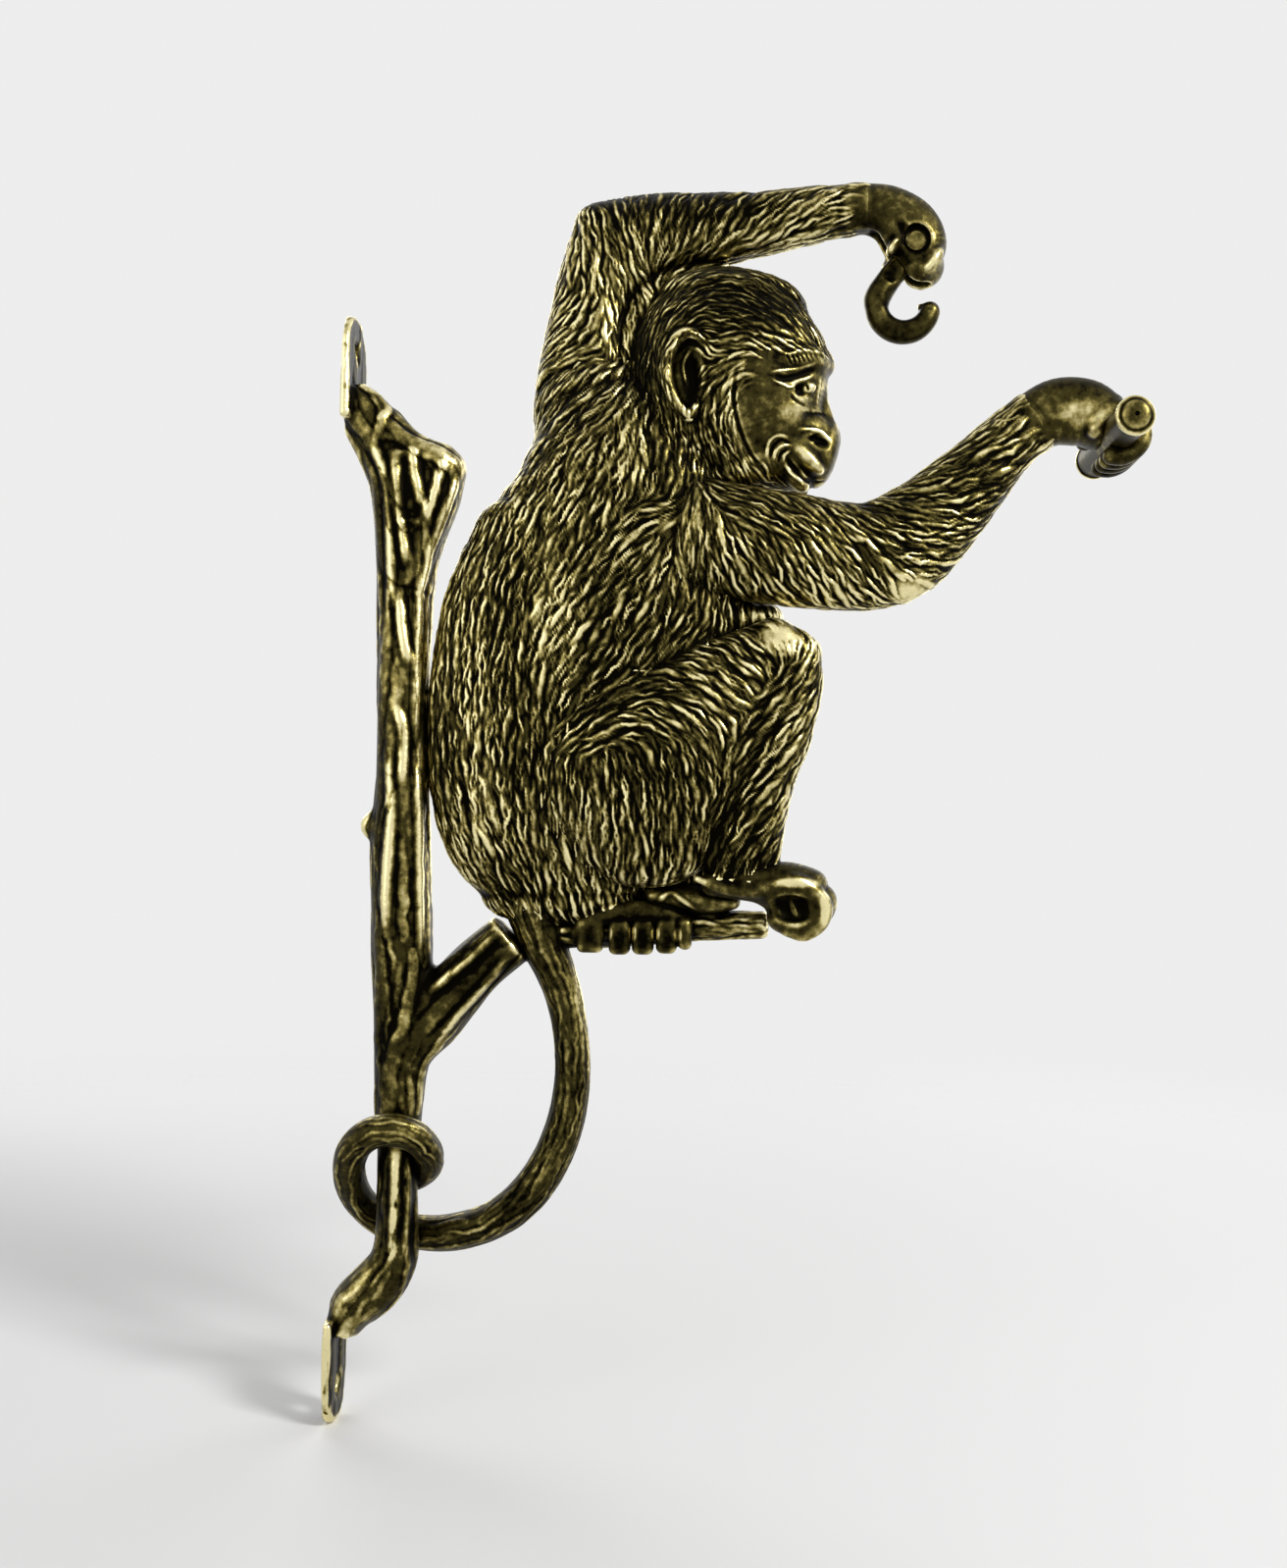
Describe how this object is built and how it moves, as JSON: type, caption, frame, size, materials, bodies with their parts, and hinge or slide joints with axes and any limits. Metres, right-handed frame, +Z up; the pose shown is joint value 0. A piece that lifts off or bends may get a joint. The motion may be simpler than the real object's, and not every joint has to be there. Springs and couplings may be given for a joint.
{
  "type": "wall bracket with swinging hook",
  "caption": "Cast brass wall bracket shaped as an ape perched on a bark-covered branch, tail knotted round it, one hand holding a swinging hook and the other a short cross bar.",
  "frame": {"origin": "on the wall plane, midway between the two screw holes", "axes": "+Z up the wall, +X out from the wall, +Y across the bracket, so that the ape faces +X"},
  "size_m": [0.2133, 0.047, 0.333],
  "materials": {
    "figure_brass": "aged, dark in the carved fur and rubbed gold on the high places",
    "bark_brass": "aged, ridged like bark",
    "hook_brass": "aged, smooth",
    "bar_brass": "aged, smooth"
  },
  "bodies": {
    "bracket": {"branch": "bark_brass", "torso": "figure_brass", "head": "figure_brass", "raised_arm": "figure_brass", "raised_hand": "figure_brass", "hook_pin": "hook_brass", "reaching_arm": "figure_brass", "reaching_hand": "figure_brass", "cross_bar": "bar_brass", "near_leg": "figure_brass", "near_foot": "figure_brass", "far_leg": "figure_brass", "far_foot": "figure_brass", "perch_twig": "bark_brass", "tail": "figure_brass"},
    "hook": {"hook": "hook_brass"}
  },
  "joints": [
    {"name": "hook_swing", "type": "hinge", "parent": "bracket", "child": "hook", "pos_m": [0.15034, 0, 0.16896], "axis": [0, 1, 0], "range_deg": [-25, 20]}
  ]
}
